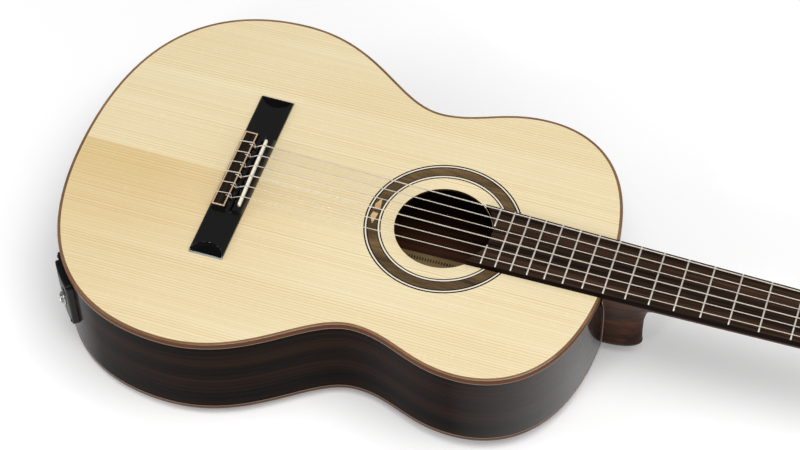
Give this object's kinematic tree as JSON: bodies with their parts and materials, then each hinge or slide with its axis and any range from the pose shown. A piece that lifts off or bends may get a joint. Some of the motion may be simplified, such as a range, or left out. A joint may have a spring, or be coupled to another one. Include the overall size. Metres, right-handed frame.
{
  "type": "classical guitar",
  "caption": "Nylon string classical guitar with spruce top, dark rosewood body, slotted head with geared tuners, and a side output jack with battery drawer.",
  "frame": {"origin": "bottom centre of the bounding box, guitar lying on its back", "axes": "+X along the strings from the tail to the head, +Y across to the bass strings, +Z out of the soundboard"},
  "size_m": [1.0036, 0.3706, 0.1202],
  "materials": {
    "spruce": "gloss lacquered spruce",
    "inner_spruce": "bare spruce",
    "rosewood": "gloss lacquered dark rosewood",
    "binding_wood": "gloss lacquered brown hardwood",
    "mahogany": "satin stained mahogany",
    "board_wood": "oiled dark fingerboard wood",
    "ebony": "satin black wood",
    "bone": "polished bone",
    "maple": "lacquered pale hardwood",
    "rosette_wood": "inlaid stained wood",
    "brass": "polished brass",
    "pearl": "pearl plastic",
    "nylon": "clear nylon",
    "wound_string": "silver wound string",
    "black_plastic": "black moulded plastic",
    "nickel": "nickel plate",
    "battery_skin": "printed battery skin",
    "paper": "aged paper"
  },
  "bodies": {
    "body": {"soundboard_bass_half": "spruce", "soundboard_treble_half": "spruce", "rosette": "rosette_wood", "upper_harmonic_bar": "inner_spruce", "lower_harmonic_bar": "inner_spruce", "fan_strut_1": "inner_spruce", "fan_strut_2": "inner_spruce", "fan_strut_3": "inner_spruce", "fan_strut_4": "inner_spruce", "fan_strut_5": "inner_spruce", "top_lining_bass": "inner_spruce", "top_lining_treble": "inner_spruce", "back_lining_bass": "inner_spruce", "back_lining_treble": "inner_spruce", "back_bar_1": "inner_spruce", "back_bar_2": "inner_spruce", "back_bar_3": "inner_spruce", "rib_bass": "rosewood", "rib_treble": "rosewood", "back_bass_half": "rosewood", "back_treble_half": "rosewood", "head_veneer": "rosewood", "top_binding": "binding_wood", "back_binding": "binding_wood", "back_centre_strip": "binding_wood", "neck": "mahogany", "headstock": "mahogany", "neck_block": "mahogany", "tail_block": "mahogany", "fretboard": "board_wood", "bridge": "ebony", "heel_cap": "ebony", "nut": "bone", "saddle": "bone", "tie_block_trim": "maple", "tuner_plate_bass": "brass", "tuner_plate_treble": "brass", "string_1_e": "nylon", "string_2_b": "nylon", "string_3_g": "nylon", "string_4_d": "wound_string", "string_5_a": "wound_string", "string_6_e": "wound_string", "jack_plate": "black_plastic", "output_jack": "nickel", "label": "paper"},
    "roller_1": {"string_roller_1": "brass"},
    "roller_2": {"string_roller_2": "brass"},
    "roller_3": {"string_roller_3": "brass"},
    "roller_4": {"string_roller_4": "brass"},
    "roller_5": {"string_roller_5": "brass"},
    "roller_6": {"string_roller_6": "brass"},
    "knob_1": {"tuner_knob_1": "pearl"},
    "knob_2": {"tuner_knob_2": "pearl"},
    "knob_3": {"tuner_knob_3": "pearl"},
    "knob_4": {"tuner_knob_4": "pearl"},
    "knob_5": {"tuner_knob_5": "pearl"},
    "knob_6": {"tuner_knob_6": "pearl"},
    "drawer": {"battery_drawer": "black_plastic", "battery": "battery_skin"}
  },
  "joints": [
    {"name": "roller_turn_1", "type": "hinge", "parent": "body", "child": "roller_1", "pos_m": [0.37247, 0, 0.08498], "axis": [0, 1, 0], "continuous": true},
    {"name": "knob_turn_1", "type": "hinge", "parent": "body", "child": "knob_1", "pos_m": [0.38033, -0.0383, 0.08302], "axis": [0.2419, 0, 0.9703], "continuous": true},
    {"name": "roller_turn_2", "type": "hinge", "parent": "body", "child": "roller_2", "pos_m": [0.40643, 0, 0.07651], "axis": [0, 1, 0], "continuous": true},
    {"name": "knob_turn_2", "type": "hinge", "parent": "body", "child": "knob_2", "pos_m": [0.41429, -0.0383, 0.07455], "axis": [0.2419, 0, 0.9703], "continuous": true},
    {"name": "roller_turn_3", "type": "hinge", "parent": "body", "child": "roller_3", "pos_m": [0.44039, 0, 0.06804], "axis": [0, 1, 0], "continuous": true},
    {"name": "knob_turn_3", "type": "hinge", "parent": "body", "child": "knob_3", "pos_m": [0.44825, -0.0383, 0.06608], "axis": [0.2419, 0, 0.9703], "continuous": true},
    {"name": "roller_turn_4", "type": "hinge", "parent": "body", "child": "roller_4", "pos_m": [0.44039, 0, 0.06804], "axis": [0, 1, 0], "continuous": true},
    {"name": "knob_turn_4", "type": "hinge", "parent": "body", "child": "knob_4", "pos_m": [0.44825, 0.0383, 0.06608], "axis": [0.2419, 0, 0.9703], "continuous": true},
    {"name": "roller_turn_5", "type": "hinge", "parent": "body", "child": "roller_5", "pos_m": [0.40643, 0, 0.07651], "axis": [0, 1, 0], "continuous": true},
    {"name": "knob_turn_5", "type": "hinge", "parent": "body", "child": "knob_5", "pos_m": [0.41429, 0.0383, 0.07455], "axis": [0.2419, 0, 0.9703], "continuous": true},
    {"name": "roller_turn_6", "type": "hinge", "parent": "body", "child": "roller_6", "pos_m": [0.37247, 0, 0.08498], "axis": [0, 1, 0], "continuous": true},
    {"name": "knob_turn_6", "type": "hinge", "parent": "body", "child": "knob_6", "pos_m": [0.38033, 0.0383, 0.08302], "axis": [0.2419, 0, 0.9703], "continuous": true},
    {"name": "drawer_slide", "type": "slide", "parent": "body", "child": "drawer", "axis": [-0.7868, -0.6172, 0], "range_m": [0, 0.055]}
  ],
  "couplings": [
    {"joint": "knob_turn_1", "follows": "roller_turn_1", "ratio": 14},
    {"joint": "knob_turn_2", "follows": "roller_turn_2", "ratio": 14},
    {"joint": "knob_turn_3", "follows": "roller_turn_3", "ratio": 14},
    {"joint": "knob_turn_4", "follows": "roller_turn_4", "ratio": 14},
    {"joint": "knob_turn_5", "follows": "roller_turn_5", "ratio": 14},
    {"joint": "knob_turn_6", "follows": "roller_turn_6", "ratio": 14}
  ]
}
